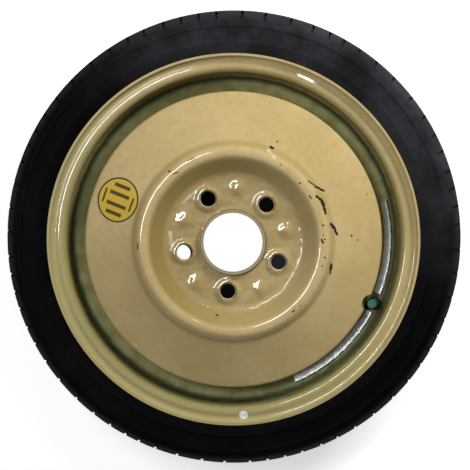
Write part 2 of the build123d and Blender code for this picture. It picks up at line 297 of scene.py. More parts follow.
# %% Disc: the press's ripple, and the sheet's thickness
RIPPLE_SIZE = 12.0 * MM
RIPPLE_HEIGHT = 1.7 * MM
RIPPLE_FROM_R = COLLAR_R + 3 * MM

bpy.ops.object.mode_set(mode="EDIT")
select_where(disc, lambda point: RIPPLE_FROM_R < hypot(point.x, point.y) < PAD_R)
bpy.ops.object.vertex_group_assign_new()
bpy.ops.object.mode_set(mode="OBJECT")
pad_group = disc.vertex_groups[-1].name
ripple = bpy.data.textures.new("press_ripple", "CLOUDS")
ripple.noise_scale = RIPPLE_SIZE
apply_modifier(
    disc, "DISPLACE", texture=ripple, direction="Z", strength=RIPPLE_HEIGHT, mid_level=0.5, vertex_group=pad_group
)
apply_modifier(disc, "SOLIDIFY", thickness=SHEET, offset=-1.0, use_even_offset=True)
print("disc sheet", len(disc.data.polygons), "faces")

# %% [markdown]
# ## Holes in the disc
#
# The bolt holes are punched and then coned, so that the nuts centre themselves, and the edge has a round notch that
# leaves room for the valve. Each is a simple solid that Boolean cuts away. The valve leans inwards by as much as the
# wall that it stands on, so the notch leans with it.

# %% Disc: bolt holes and the valve notch
BOLT_HOLE_R = 8.0 * MM
VALVE_ANGLE = -24.5
VALVE_FOOT = Vector((159.666, -72.764, -36.562)) * MM
VALVE_LEAN = 12.0
NOTCH_R = 10.8 * MM
CUT_LENGTH = 60.0 * MM
CUT_SIDES = 48


def cutter_of(add, places, **sizes):
    """One object made of a primitive at each of some places."""
    bpy.ops.object.select_all(action="DESELECT")
    add(vertices=CUT_SIDES, location=places[0], **sizes)
    cutter = bpy.context.object
    bpy.ops.object.transform_apply(location=True, rotation=True, scale=True)
    bpy.ops.object.mode_set(mode="EDIT")
    for place in places[1:]:
        add(vertices=CUT_SIDES, location=place, **sizes)
    bpy.ops.object.mode_set(mode="OBJECT")
    return cutter


def cut_away(piece, cutter):
    """Cut one object out of a piece, and delete it."""
    apply_modifier(piece, "BOOLEAN", object=cutter, operation="DIFFERENCE", solver="EXACT")
    bpy.data.objects.remove(cutter, do_unlink=True)


valve_axis = round_place(-sin(radians(VALVE_LEAN)), VALVE_ANGLE, cos(radians(VALVE_LEAN)))
valve_turn = valve_axis.to_track_quat("Z", "Y").to_euler()
notch_middle = VALVE_FOOT + valve_axis * (CUT_LENGTH / 2)
cylinder = bpy.ops.mesh.primitive_cylinder_add
drills = cutter_of(cylinder, bolt_places, radius=BOLT_HOLE_R, depth=CUT_LENGTH)
bpy.ops.object.mode_set(mode="EDIT")
cylinder(vertices=CUT_SIDES, radius=NOTCH_R, depth=CUT_LENGTH, location=notch_middle, rotation=valve_turn)
bpy.ops.object.mode_set(mode="OBJECT")
cut_away(disc, drills)
print("disc drilled and notched,", len(disc.data.polygons), "faces")

# %% Disc: the bolt seats
SEAT_MOUTH_R = 10.25 * MM
SEAT_HALF_ANGLE = 30.0
SEAT_OVER = 2 * MM

seat_lean = tan(radians(SEAT_HALF_ANGLE))
seat_top = SHEET + BOSS_HEIGHT
seat_depth = (SEAT_MOUTH_R - BOLT_HOLE_R) / seat_lean
seat_middle = seat_top + (SEAT_OVER - seat_depth) / 2
seats = cutter_of(
    bpy.ops.mesh.primitive_cone_add,
    [(place.x, place.y, seat_middle) for place in bolt_places],
    radius1=BOLT_HOLE_R,
    radius2=SEAT_MOUTH_R + SEAT_OVER * seat_lean,
    depth=seat_depth + SEAT_OVER,
)
cut_away(disc, seats)
print("disc seats", round(seat_depth / MM, 2), "mm deep,", len(disc.data.polygons), "faces")

# %% [markdown]
# ## The tyre
#
# A tyre is one moulding. Its section is turned, and the grooves across its shoulders are pressed in afterwards:
# the faces of each groove are selected and pushed in along their normals. Real treads mix short and long pitches
# so that they don't hum, and the order of the pitches here is the one seen at the photograph's upper left.

# %% Tyre: the turned moulding
TYRE_FIT = 0.3 * MM
LIP_Z = -6.0 * MM
LIP_R = 207.6 * MM
FLANGE_Z = -15.5 * MM
MID_Z = -66.3 * MM
SEAT_R = 190.1 * MM
SEAT_TAPER = 5.0
WALL_HEIGHT = 49.9 * MM
TREAD_R = LIP_R + WALL_HEIGHT
WALL_STEP = 0.8 * MM
HOLLOW_IN = LIP_R + 0.28 * WALL_HEIGHT
HOLLOW_OUT = LIP_R + 0.56 * WALL_HEIGHT
SHOULDER_R = LIP_R + 0.74 * WALL_HEIGHT
WALL_Z = LIP_Z + 0.9 * MM
BEAD_WIDTH = 17.0 * MM
BEAD_HEIGHT = 11.0 * MM
PITCHES = (7, 7, 7, 8, 7, 8, 9, 10, 9, 8, 7, 6, 7, 9, 10, 9, 10)
PITCH_ROUNDS = 4
TYRE_COLUMNS = sum(PITCHES) * PITCH_ROUNDS
TYRE_ARC_STEP = 16
TYRE_RUN = 9.0 * MM

toe_z = FLANGE_Z - TYRE_FIT - BEAD_WIDTH
base_r = SEAT_R + TYRE_FIT
toe_r = base_r - BEAD_WIDTH * tan(radians(SEAT_TAPER))
exit_r = LIP_R + TYRE_FIT
tyre_half = [
    (TREAD_R - 12 * MM, MID_Z + 30 * MM, 18 * MM),
    (LIP_R + 0.12 * WALL_HEIGHT, LIP_Z - 12 * MM, 18 * MM),
    (toe_r + BEAD_HEIGHT, toe_z, 1.5 * MM),
    (toe_r, toe_z, 1.5 * MM),
    (base_r, FLANGE_Z - TYRE_FIT, 6.5 * MM),
    (exit_r, FLANGE_Z - TYRE_FIT, 6.5 * MM),
    (exit_r, LIP_Z - 2 * MM, 0.8 * MM),
    (HOLLOW_IN - 2 * WALL_STEP, WALL_Z, 2 * WALL_STEP),
    (HOLLOW_IN, WALL_Z - WALL_STEP, WALL_STEP / 2),
    (HOLLOW_OUT, WALL_Z - WALL_STEP, WALL_STEP / 2),
    (HOLLOW_OUT + 2 * WALL_STEP, WALL_Z, 2 * WALL_STEP),
    (SHOULDER_R, WALL_Z - WALL_STEP, 13 * MM),
    (TREAD_R - 3 * MM, LIP_Z - 16 * MM, 9 * MM),
    (TREAD_R, MID_Z + 22 * MM, 60 * MM),
]
tyre_outline = both_sides(tyre_half, MID_Z, TYRE_ARC_STEP)
tyre = lathe("tyre_moulding", divided(tyre_outline + tyre_outline[:1], TYRE_RUN), TYRE_COLUMNS)
print("tyre", len(tyre.data.polygons), "faces,", round(2 * TREAD_R / MM), "mm across")

# %% Tyre: grooves across the shoulders
GROOVE_FIRST = 94.2
GROOVE_DEPTH = 3.8 * MM
GROOVE_R = 245.0 * MM
GROOVE_HALF_LAND = 26.0 * MM
LOWER_SHIFT = 4

column_angle = 360 / TYRE_COLUMNS
pitches = PITCHES * PITCH_ROUNDS
groove_columns = {sum(pitches[:k]) for k in range(len(pitches))}


def groove_shift(z):
    """The lower shoulder's grooves stand half a pitch round from the upper ones."""
    return 0 if z > MID_Z else LOWER_SHIFT


pick(tyre)
bpy.ops.object.mode_set(mode="EDIT")
bpy.ops.mesh.select_mode(type="FACE")
bpy.ops.mesh.select_all(action="DESELECT")
bpy.ops.object.mode_set(mode="OBJECT")
first_column = int(GROOVE_FIRST / column_angle)
for face in tyre.data.polygons:
    x, y, z = face.center
    outward = hypot(x, y) > GROOVE_R and abs(z - MID_Z) > GROOVE_HALF_LAND
    index = int((degrees(atan2(y, x)) % 360) / column_angle) - first_column - groove_shift(z)
    outside = face.normal.dot(Vector((x, y, z - MID_Z))) > 0
    face.select = outward and outside and index % TYRE_COLUMNS in groove_columns
bpy.ops.object.mode_set(mode="EDIT")
bpy.ops.mesh.extrude_region_shrink_fatten(TRANSFORM_OT_shrink_fatten={"value": -GROOVE_DEPTH})
bpy.ops.mesh.select_mode(type="VERT")
bpy.ops.object.mode_set(mode="OBJECT")
print("tyre", len(tyre.data.polygons), "faces, grooves", 2 * len(groove_columns))

# %% [markdown]
# ## The rim
#
# A rim is rolled from one strip of steel: lip, flange, bead seat and well are one line of bends, the same on both
# sides. The line is drawn on the tyre's side, spun, and thickened towards the axle. The flange has a shallow crown
# that stiffens it, and the crown draws the long bright streaks in the paint.

# %% Rim: the rolled section
RIM_SHEET = 2.6 * MM
SEAT_LENGTH = 21.0 * MM
WELL_R = 163.5 * MM
CROWN_IN = 194.9 * MM
CROWN_OUT = 198.6 * MM
CROWN_FOOT_Z = FLANGE_Z + 0.3 * MM
CROWN_Z = CROWN_FOOT_Z + 1.0 * MM
VALVE_HOLE_R = 5.75 * MM
RIM_COLUMNS = 300
RIM_ARC_STEP = 10
RIM_RUN = 8.0 * MM

seat_end_r = SEAT_R - SEAT_LENGTH * tan(radians(SEAT_TAPER))
rim_half = [
    (LIP_R, LIP_Z, 0),
    (LIP_R, CROWN_FOOT_Z, 7 * MM),
    (CROWN_OUT, CROWN_FOOT_Z, 4 * MM),
    (CROWN_IN, CROWN_Z, 4 * MM),
    (SEAT_R, CROWN_Z, 4 * MM),
    (seat_end_r, FLANGE_Z - SEAT_LENGTH, 5 * MM),
    (WELL_R, WELL_FOOT_Z, 4 * MM),
]
rim_outline = both_sides(rim_half, MID_Z, RIM_ARC_STEP)
rim = lathe("rim_rolled", divided(rim_outline, RIM_RUN), RIM_COLUMNS)
apply_modifier(rim, "SOLIDIFY", thickness=RIM_SHEET, offset=-1.0, use_even_offset=True)
hole_middle = VALVE_FOOT - valve_axis * (RIM_SHEET / 2)
cut_away(rim, cutter_of(cylinder, [hole_middle], radius=VALVE_HOLE_R, depth=4 * RIM_SHEET, rotation=valve_turn))
rim_reach = max(vertex.co.x for vertex in rim.data.vertices)
print("rim", len(rim.data.polygons), "faces, lip at", round(rim_reach / MM, 1), "mm")

# %% [markdown]
# ## Materials
#
# Each material is worked out from the piece's own coordinates, so it holds from every side. A few small helpers put
# a node in a tree, give it its inputs and return its output, so that a material reads like a sum: a share from 0 to 1
# says where something lies, and a blend lays one colour over another by that share.

# %% Node helpers


def put(tree, kind, *values, output=0, settings=None, **named):
    """Add a shader node, give it its inputs by order or by name, and return one output."""
    made = tree.nodes.new("ShaderNode" + kind)
    for key, value in (settings or {}).items():
        setattr(made, key, value)
    pairs = [(made.inputs[k], value) for k, value in enumerate(values)]
    pairs += [(made.inputs[key.replace("_", " ")], value) for key, value in named.items()]
    for socket, value in pairs:
        if isinstance(value, bpy.types.NodeSocket):
            tree.links.new(value, socket)
        else:
            socket.default_value = value
    return made.outputs[output]


def maths(tree, operation, *values):
    """One sum on plain values."""
    return put(tree, "Math", *values, settings={"operation": operation})


def vectors(tree, operation, *values, output=0):
    """One sum on places or directions."""
    return put(tree, "VectorMath", *values, output=output, settings={"operation": operation})


def times(tree, *shares):
    """The product of two shares."""
    return maths(tree, "MULTIPLY", *shares)


def toward(tree, place, direction):
    """How far a place lies in a direction."""
    return vectors(tree, "DOT_PRODUCT", place, direction, output=1)


def blend_colour(tree, share, low, high):
    """One colour over another by a share."""
    made = tree.nodes.new("ShaderNodeMix")
    made.data_type = "RGBA"
    for index, value in ((0, share), (6, low), (7, high)):
        if isinstance(value, bpy.types.NodeSocket):
            tree.links.new(value, made.inputs[index])
        else:
            made.inputs[index].default_value = value
    return made.outputs[2]


def soft_step(tree, value, low, high, start=0.0, end=1.0):
    """A smooth rise from start to end as a value goes from low to high."""
    return put(tree, "MapRange", value, low, high, start, end, settings={"interpolation_type": "SMOOTHSTEP"})


def noise(tree, place, scale, detail=3.0, roughness=0.5):
    """Cloudy noise, with so many clouds to the metre."""
    return put(tree, "TexNoise", Vector=place, Scale=scale, Detail=detail, Roughness=roughness)


def new_material(name, colour, roughness, metallic=0.0):
    """A material with its shader set to plain values, and the piece's own coordinates."""
    material = bpy.data.materials.new(name)
    material.use_nodes = True
    tree = material.node_tree
    shader = tree.nodes["Principled BSDF"]
    shader.inputs["Base Color"].default_value = (*colour, 1)
    shader.inputs["Roughness"].default_value = roughness
    shader.inputs["Metallic"].default_value = metallic
    place = put(tree, "TexCoord", output=3)
    return material, tree, shader, place


def bump(tree, shader, height, strength, distance):
    """Small relief from a height."""
    relief = put(tree, "Bump", Strength=strength, Distance=distance, Height=height)
    tree.links.new(relief, shader.inputs["Normal"])


def radius_of(tree, place):
    """The distance from the axle line."""
    flat = vectors(tree, "MULTIPLY", place, (1, 1, 0))
    return vectors(tree, "LENGTH", flat, output=1)


# %% [markdown]
# ## Strokes
#
# Chips, scuffs and dots are short strokes of a brush. A node group measures how far a place is from the line between
# two points. It is made once and used for every stroke, which keeps the node trees readable.

# %% The stroke's node group
stroke = bpy.data.node_groups.new("stroke_distance", "ShaderNodeTree")
for socket_name in ("Point", "From", "To"):
    stroke.interface.new_socket(socket_name, in_out="INPUT", socket_type="NodeSocketVector")
stroke.interface.new_socket("Distance", in_out="OUTPUT", socket_type="NodeSocketFloat")
stroke_in = stroke.nodes.new("NodeGroupInput")
stroke_out = stroke.nodes.new("NodeGroupOutput")
run = vectors(stroke, "SUBTRACT", stroke_in.outputs["To"], stroke_in.outputs["From"])
away = vectors(stroke, "SUBTRACT", stroke_in.outputs["Point"], stroke_in.outputs["From"])
along = maths(
    stroke,
    "DIVIDE",
    vectors(stroke, "DOT_PRODUCT", away, run, output=1),
    vectors(stroke, "DOT_PRODUCT", run, run, output=1),
)
held = put(stroke, "Clamp", along, 0.0, 1.0)
nearest = stroke.nodes.new("ShaderNodeVectorMath")
nearest.operation = "SCALE"
stroke.links.new(run, nearest.inputs[0])
stroke.links.new(held, nearest.inputs["Scale"])
gap = vectors(stroke, "SUBTRACT", away, nearest.outputs[0])
stroke.links.new(vectors(stroke, "LENGTH", gap, output=1), stroke_out.inputs["Distance"])
print("stroke group of", len(stroke.nodes), "nodes")

# %% Strokes on a piece


def strokes(tree, place, lines, carrier):
    """How well a place lies in the nearest of some strokes (from pixel, to pixel, half width in mm): 1 on its
    line, 0 at its edge, less outside."""
    share = -1.0
    for start, end, half_width in lines:
        made = tree.nodes.new("ShaderNodeGroup")
        made.node_tree = stroke
        tree.links.new(place, made.inputs["Point"])
        made.inputs["From"].default_value = place_on(carrier, start)
        made.inputs["To"].default_value = place_on(carrier, end)
        inside = maths(tree, "MULTIPLY_ADD", made.outputs[0], -1 / (half_width * MM), 1.0)
        share = maths(tree, "MAXIMUM", inside, share)
    return share


# %% [markdown]
# ## Gold paint
#
# The disc and the rim have one coat of gold paint. It varies a little, has a fine orange peel, and is chipped to
# its dark primer where tools and the hub have struck it. The chips are strokes, given as pixels of the photograph.

# %% Gold paint: the coat
GOLD = (0.47, 0.345, 0.140)
GOLD_PALE = (0.53, 0.40, 0.178)
GOLD_WARM = (0.38, 0.262, 0.092)
PRIMER = (0.016, 0.012, 0.010, 1)
COAT = 0.9
COAT_ROUGHNESS = 0.06
PAINT_SPECULAR = 0.25
BLOTCH_SCALE = 14
GRAIN_SCALE = 120
CRUMB_SCALE = 420
PEEL_SCALE = 260
GRAIN_SHARE = 0.3
PEEL_HEIGHT = 0.3 * MM


def gold_paint(name, carrier, chips):
    """Gold paint with blotches, orange peel and chips at the carrier's strokes."""
    material, tree, shader, place = new_material(name, GOLD, 0.5)
    blotch = soft_step(tree, noise(tree, place, BLOTCH_SCALE, 4, 0.6), 0.35, 0.7)
    grain = soft_step(tree, noise(tree, place, GRAIN_SCALE, 4, 0.65), 0.45, 0.72)
    colour = blend_colour(tree, blotch, (*GOLD, 1), (*GOLD_PALE, 1))
    colour = blend_colour(tree, times(tree, grain, GRAIN_SHARE), colour, (*GOLD_WARM, 1))
    share = strokes(tree, place, chips, carrier)
    crumbs = noise(tree, place, CRUMB_SCALE, 4, 0.7)
    chipped = soft_step(tree, maths(tree, "MULTIPLY_ADD", share, 0.55, crumbs), 0.62, 0.68)
    chipped = times(tree, chipped, soft_step(tree, share, -0.35, -0.15))
    colour = blend_colour(tree, chipped, colour, PRIMER)
    tree.links.new(colour, shader.inputs["Base Color"])
    tree.links.new(maths(tree, "MULTIPLY_ADD", grain, 0.1, 0.45), shader.inputs["Roughness"])
    shader.inputs["Specular IOR Level"].default_value = PAINT_SPECULAR
    shader.inputs["Coat Roughness"].default_value = COAT_ROUGHNESS
    tree.links.new(maths(tree, "MULTIPLY_ADD", chipped, -COAT, COAT), shader.inputs["Coat Weight"])
    peel = noise(tree, place, PEEL_SCALE, 2)
    height = maths(tree, "MULTIPLY_ADD", chipped, -0.6, peel)
    bump(tree, shader, height, 0.1, PEEL_HEIGHT)
    return material, tree, shader, place, colour, chipped


# %% Disc paint: where it is chipped
DISC_CHIPS = [
    ((270.5, 147.0), (273.0, 148.2), 1.9),
    ((308.8, 181.4), (314.0, 184.8), 1.5),
    ((315.0, 186.2), (323.6, 190.5), 1.7),
    ((309.7, 195.8), (311.6, 198.7), 1.1),
    ((316.9, 196.7), (321.7, 200.6), 2.5),
    ((321.7, 200.6), (323.6, 205.8), 3.3),
    ((323.6, 205.8), (325.5, 213.0), 2.6),
    ((322.9, 225.5), (323.3, 225.5), 1.4),
    ((331.2, 224.5), (334.1, 227.8), 2.9),
    ((334.1, 227.8), (337.0, 234.6), 1.8),
    ((323.0, 235.0), (323.3, 235.2), 0.9),
    ((321.6, 239.8), (323.2, 242.7), 1.5),
    ((324.8, 239.3), (325.2, 239.5), 1.0),
    ((322.1, 266.0), (322.4, 266.2), 1.0),
    ((331.2, 264.9), (330.8, 268.6), 2.6),
    ((330.8, 268.6), (330.3, 272.8), 1.7),
    ((292.6, 311.8), (294.4, 310.4), 1.1),
    ((300.0, 306.2), (301.2, 305.4), 0.9),
    ((137.5, 244.2), (137.8, 248.6), 1.2),
    ((187.4, 161.0), (194.3, 157.6), 0.9),
    ((168.6, 171.0), (170.0, 171.8), 1.2),
    ((171.6, 174.0), (178.4, 172.2), 0.7),
    ((216.4, 315.0), (217.6, 315.4), 1.3),
    ((280.6, 164.8), (281.0, 165.2), 1.0),
    ((277.2, 141.6), (277.5, 141.8), 0.9),
    ((299.4, 183.2), (300.0, 183.5), 1.1),
    ((324.6, 257.0), (325.2, 258.2), 0.9),
    ((351.3, 235.5), (351.7, 236.0), 1.3),
    ((357.4, 239.9), (357.8, 240.2), 0.9),
    ((366.9, 194.0), (367.2, 194.2), 0.8),
]

disc_paint, tree, shader, place, colour, chipped = gold_paint("gold_paint_disc", disc, DISC_CHIPS)
print("disc paint with", len(DISC_CHIPS), "chips")

# %% [markdown]
# ## Wear, painted shade and painted highlights on the disc
#
# Nuts have worn the bolt seats bright and bruised their mouths, and the hub has rubbed the collar, whose edges get
# painted shade. Painted shade darkens the dish wall, most on the side away from the light, and the ridge's foot, where
# the gloss is also taken off. A few pale patches on the ridge and the pad are painted highlights. Each is a share by
# place, and the chips stay on top of the painted shade.

# %% Disc paint: worn seats
SEAT_BRIGHT = (0.50, 0.47, 0.41, 1)
BRUISE = (0.10, 0.07, 0.035, 1)
WEAR_SCALE = 180
SEAT_WORN_R = (9.6 * MM, 9.0 * MM)
BRUISE_IN_R = (9.7 * MM, 10.2 * MM)
BRUISE_OUT_R = (11.2 * MM, 10.5 * MM)

wear = noise(tree, place, WEAR_SCALE, 4, 0.6)
flat = vectors(tree, "MULTIPLY", place, (1, 1, 0))
bolt_gap = 1.0
for bolt in bolt_places:
    gap = vectors(tree, "DISTANCE", flat, (bolt.x, bolt.y, 0), output=1)
    bolt_gap = maths(tree, "MINIMUM", gap, bolt_gap)
worn = times(tree, soft_step(tree, bolt_gap, *SEAT_WORN_R), soft_step(tree, wear, 0.35, 0.6, 0.45, 1.0))
colour = blend_colour(tree, worn, colour, SEAT_BRIGHT)
mouth = times(tree, soft_step(tree, bolt_gap, *BRUISE_IN_R), soft_step(tree, bolt_gap, *BRUISE_OUT_R))
mouth = times(tree, mouth, soft_step(tree, wear, 0.48, 0.58))
colour = blend_colour(tree, mouth, colour, BRUISE)
print("worn seats round", len(bolt_places), "bolt holes")

# %% Disc paint: the rubbed collar and its painted edge shade
COLLAR_WORN = (0.40, 0.36, 0.26, 1)
COLLAR_EDGE_SHADE = (0.07, 0.055, 0.03, 1)
COLLAR_WORN_R = (COLLAR_R + 0.9 * MM, COLLAR_R + 0.2 * MM)
COLLAR_EDGE_GAP = (0.9 * MM, 0.4 * MM)

turned = radius_of(tree, place)
collar = times(tree, soft_step(tree, turned, *COLLAR_WORN_R), soft_step(tree, wear, 0.3, 0.6, 0.5, 1.0))
colour = blend_colour(tree, collar, colour, COLLAR_WORN)
# Painted shade: dark thin lines along the collar's outer and inner edges.
edge_gap = maths(tree, "ABSOLUTE", maths(tree, "SUBTRACT", turned, COLLAR_R))
inner_gap = maths(tree, "SUBTRACT", turned, COLLAR_R - SHEET)
edge_gap = maths(tree, "MINIMUM", edge_gap, inner_gap)
colour = blend_colour(tree, soft_step(tree, edge_gap, *COLLAR_EDGE_GAP, 0.0, 0.8), colour, COLLAR_EDGE_SHADE)
print("collar rubbed from", round(COLLAR_R / MM, 2), "mm")

# %% Disc paint: painted shade and dull zones
WALL_SHADE = (0.245, 0.175, 0.052, 1)
DISH_R = (CREST_IN + 1 * MM, CREST_IN - 6 * MM)
PAD_FADE_R = (PAD_R - 2 * MM, PAD_R + 5 * MM)
FOOT_IN_R = (CREST_OUT + 1 * MM, CREST_OUT + 6 * MM)
FOOT_OUT_R = (RIDGE_FOOT_R + 4 * MM, RIDGE_FOOT_R - 1 * MM)
DULL_IN_R = (PAD_R - 7 * MM, PAD_R - 3 * MM)
DULL_OUT_R = (CREST_IN - 4 * MM, CREST_IN - 9 * MM)
DISH_SHADE_SIDE = (-0.94, 0.34, 0)
DISH_SHADE_REACH = (-60 * MM, 80 * MM)
FOOT_DULLING = 1.6

# Painted shade: the dish wall is darker, most on the side away from the light, and so is a band at the ridge's foot.
dish = soft_step(tree, turned, *DISH_R, 0.0, 0.75)
dish = times(tree, dish, soft_step(tree, turned, *PAD_FADE_R, 0.68, 1.0))
dish = times(tree, dish, soft_step(tree, toward(tree, place, DISH_SHADE_SIDE), *DISH_SHADE_REACH, 0.75, 1.3))
foot = times(tree, soft_step(tree, turned, *FOOT_IN_R), soft_step(tree, turned, *FOOT_OUT_R, 0.0, 0.45))
whole = maths(tree, "SUBTRACT", 1.0, chipped)
darkening = times(tree, maths(tree, "MAXIMUM", dish, foot), whole)
colour = blend_colour(tree, darkening, colour, WALL_SHADE)
dull = times(tree, soft_step(tree, turned, *DULL_IN_R), soft_step(tree, turned, *DULL_OUT_R, 0.0, 0.6))
dull = maths(tree, "MAXIMUM", dull, times(tree, foot, FOOT_DULLING))
gloss = maths(tree, "MULTIPLY_ADD", dull, -COAT, COAT)
tree.links.new(times(tree, gloss, whole), shader.inputs["Coat Weight"])
print("dirt on the dish wall and the ridge's foot")

# %% Disc paint: painted highlights, and the finished disc
PALE = (0.72, 0.66, 0.46, 1)
PAINTED_HIGHLIGHTS = [
    ((268.5, 150.5), (274.0, 157.0), 2.6),
    ((183.0, 202.5), (195.0, 191.0), 2.2),
    ((170.2, 232.5), (170.8, 243.5), 2.6),
]
SMOOTH_ANGLE = 32

# Painted highlights: pale patches where the ridge and the pad's foot catch the light.
painted_highlight = soft_step(tree, strokes(tree, place, PAINTED_HIGHLIGHTS, disc), -0.1, 0.5)
painted_highlight = times(tree, painted_highlight, soft_step(tree, wear, 0.35, 0.65, 0.15, 0.6))
colour = blend_colour(tree, painted_highlight, colour, PALE)
tree.links.new(colour, shader.inputs["Base Color"])
finish_piece(disc, "wheel", "gold_paint", disc_paint, SMOOTH_ANGLE, "disc")

# %% [markdown]
# ## Dirt and painted shade on the rim
#
# The rim has the same coat, but damp and dust stay in it. It darkens in rings of dirt and painted shade: a ring of
# moss colour and painted shade under the flange, grime and painted shade in the corner of the bead seat, and an olive
# film of dust on the well wall, with a painted shadow of the lip on its upper left. The flange itself is painted
# darker toward its lower left, a painted shade. The rings' edges wander with a noise, and their centre lies a little
# low.
# Painted shade makes it darkest round the valve's foot. A white paint dot marks the flange.

# %% Rim paint: the flange and its painted shade
FLANGE_SHADE = (0.330, 0.285, 0.115, 1)
RIM_CHIPS = [((281.2, 417.6), (284.2, 416.7), 1.2), ((300.9, 411.8), (303.3, 410.6), 1.2)]
FLANGE_LIT_SIDE = (0.7, 0.7, 0)

rim_paint, tree, shader, place, colour, chipped = gold_paint("gold_paint_rim", rim, RIM_CHIPS)
# Painted shade: the flange is darker toward its lower left, away from the light.
flange_shade = soft_step(tree, toward(tree, place, FLANGE_LIT_SIDE), 0.15, -0.1, 0.2, 0.85)
colour = blend_colour(tree, flange_shade, colour, FLANGE_SHADE)
print("rim paint with", len(RIM_CHIPS), "chips")

# %% Rim paint: rings of dirt and painted shade
OLIVE_DUST_AND_SHADE = (0.300, 0.310, 0.145, 1)
GRIME_AND_SHADE = (0.034, 0.040, 0.013, 1)
MOSS_AND_SHADE = (0.230, 0.200, 0.070, 1)
MOSS_AND_SHADE_R = (194 * MM, 187.5 * MM)
GRIME_AND_SHADE_R = (188 * MM, 183.5 * MM)
OLIVE_DUST_AND_SHADE_R = (183 * MM, 176.5 * MM)
RING_SHIFT = (0, -1.4 * MM, 0)
GRIME_SCALE = 60
WELL_SHADOW_SIDE = (-0.7, 0.7, 0)

grime = noise(tree, place, GRIME_SCALE, 5, 0.65)
smear = maths(tree, "MULTIPLY_ADD", grime, 3 * MM, -1.5 * MM)
shifted_place = vectors(tree, "SUBTRACT", place, RING_SHIFT)
reach = maths(tree, "ADD", radius_of(tree, shifted_place), smear)
# Rings of dirt and painted shade: under the flange, and in the corner of the bead seat.
colour = blend_colour(tree, soft_step(tree, reach, *MOSS_AND_SHADE_R, 0.0, 0.7), colour, MOSS_AND_SHADE)
colour = blend_colour(tree, soft_step(tree, reach, *GRIME_AND_SHADE_R), colour, GRIME_AND_SHADE)
dust_and_shade = blend_colour(tree, soft_step(tree, grime, 0.35, 0.7), OLIVE_DUST_AND_SHADE, MOSS_AND_SHADE)
# Painted shadow of the lip on the well wall's upper left.
shaded = soft_step(tree, toward(tree, place, WELL_SHADOW_SIDE), 80 * MM, 165 * MM, 0.0, 0.62)
dust_and_shade = blend_colour(tree, shaded, dust_and_shade, GRIME_AND_SHADE)
colour = blend_colour(tree, soft_step(tree, reach, *OLIVE_DUST_AND_SHADE_R), colour, dust_and_shade)
print("rings of dirt from", round(MOSS_AND_SHADE_R[0] / MM), "to", round(OLIVE_DUST_AND_SHADE_R[1] / MM), "mm")

# %% Rim paint: gloss, the white dot, and the finished rim
WHITE = (0.78, 0.76, 0.72, 1)
WHITE_DOT = [((243.2, 415.0), (243.8, 415.0), 4.6)]
VALVE_SHADE = [((362.8, 299.0), (364.6, 307.0), 8.0)]
DIRTY_GLOSS = 0.05

# Painted shade round the valve's foot.
shade = soft_step(tree, strokes(tree, place, VALVE_SHADE, rim), 0.0, 0.5)
colour = blend_colour(tree, shade, colour, GRIME_AND_SHADE)
for socket, clean in (("Coat Weight", COAT), ("Specular IOR Level", PAINT_SPECULAR)):
    tree.links.new(soft_step(tree, reach, GRIME_AND_SHADE_R[1], MOSS_AND_SHADE_R[0], DIRTY_GLOSS, clean), shader.inputs[socket])
dot = soft_step(tree, strokes(tree, place, WHITE_DOT, rim), -0.03, 0.03)
colour = blend_colour(tree, dot, colour, WHITE)
tree.links.new(colour, shader.inputs["Base Color"])
finish_piece(rim, "wheel", "gold_paint", rim_paint, SMOOTH_ANGLE, "rim")

# %% [markdown]
# ## Tyre rubber
#
# Black rubber is never quite black: dust greys it in faint clouds, and toward the top and right it is lighter, dust
# and painted sheen together. The mould leaves a fine grain.

# %% Tyre rubber
RUBBER = (0.003, 0.003, 0.003)
RUBBER_DARK = (0.0006, 0.0006, 0.0007, 1)
RUBBER_GREY = (0.0022, 0.0022, 0.0026, 1)
TOP_DUST_AND_SHEEN = (0.030, 0.030, 0.035, 1)
DUST_AND_SHEEN_SIDE = (0.5, 0.85, 0)
DUST_SCALE = 18
MOULD_SCALE = 900
TYRE_SMOOTH_ANGLE = 38

rubber, tree, shader, place = new_material("tyre_rubber", RUBBER, 0.7)
cloud = noise(tree, place, DUST_SCALE, 5, 0.65)
colour = blend_colour(tree, soft_step(tree, cloud, 0.42, 0.75), RUBBER_DARK, RUBBER_GREY)
# Lighter toward the top and right: dust and painted sheen.
top_dust_and_sheen = soft_step(tree, toward(tree, place, DUST_AND_SHEEN_SIDE), 0.03, 0.22)
top_dust_and_sheen = times(tree, top_dust_and_sheen, soft_step(tree, cloud, 0.3, 0.7, 0.3, 1.0))
colour = blend_colour(tree, top_dust_and_sheen, colour, TOP_DUST_AND_SHEEN)
tree.links.new(colour, shader.inputs["Base Color"])
shader.inputs["Specular IOR Level"].default_value = 0.04
bump(tree, shader, noise(tree, place, MOULD_SCALE, 3, 0.6), 0.25, 0.3 * MM)
finish_piece(tyre, "wheel", "tyre_rubber", rubber, TYRE_SMOOTH_ANGLE, "tyre")

# %% [markdown]
# ## Small pieces
#
# The balance weights are bare zinc on black foam tape. They are darker toward the top. The valve is rubber round a
# brass stem, with a spring and rubber seals inside, and its cap is green plastic. The weld between disc and rim is
# painted over. These pieces keep the shapes of the source and only get their finishes here.

# %% Weights and their tape
ZINC = (0.60, 0.61, 0.61)
ZINC_DARK = (0.48, 0.49, 0.48, 1)
ZINC_LIGHT = (0.72, 0.73, 0.73, 1)
ZINC_TOP_DARK = (0.19, 0.205, 0.14, 1)
ZINC_TOP_DARK_Y = (-45 * MM, 35 * MM)
UPWARD = (0, 1, 0)


def dress(material, *names):
    """Give CAD pieces a material."""
    for name in names:
        nodes[name].data.materials.clear()
        nodes[name].data.materials.append(material)
    print(material.name, "on", ", ".join(names))


zinc, tree, shader, place = new_material("weight_metal", ZINC, 0.3, 0.9)
mottle = soft_step(tree, noise(tree, place, 150, 4, 0.6), 0.35, 0.7)
colour = blend_colour(tree, mottle, ZINC_DARK, ZINC_LIGHT)
